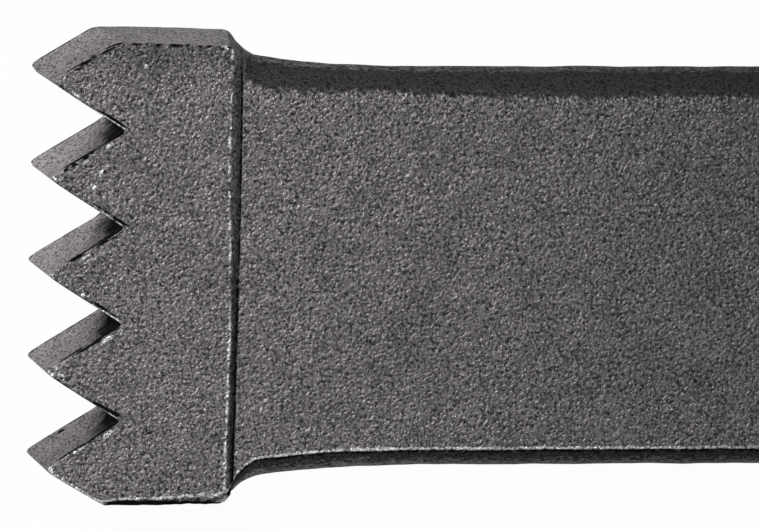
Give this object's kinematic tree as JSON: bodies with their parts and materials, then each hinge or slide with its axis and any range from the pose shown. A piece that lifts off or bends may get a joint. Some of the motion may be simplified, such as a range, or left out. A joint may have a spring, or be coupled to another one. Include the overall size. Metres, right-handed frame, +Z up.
{
  "type": "toothed chisel",
  "caption": "One-piece forged hammer chisel with a flat blade, a wider head cut into V-shaped teeth, and a slotted round shank.",
  "frame": {"origin": "centre of the flat striking end of the shank", "axes": "+X along the tool from the striking end to the teeth, +Y across the blade, +Z up through its thickness"},
  "size_m": [0.3, 0.032, 0.019],
  "materials": {
    "forged_steel": "blasted, dark grey, milled on the teeth"
  },
  "bodies": {
    "root": {"toothed_chisel": "forged_steel"}
  },
  "joints": []
}
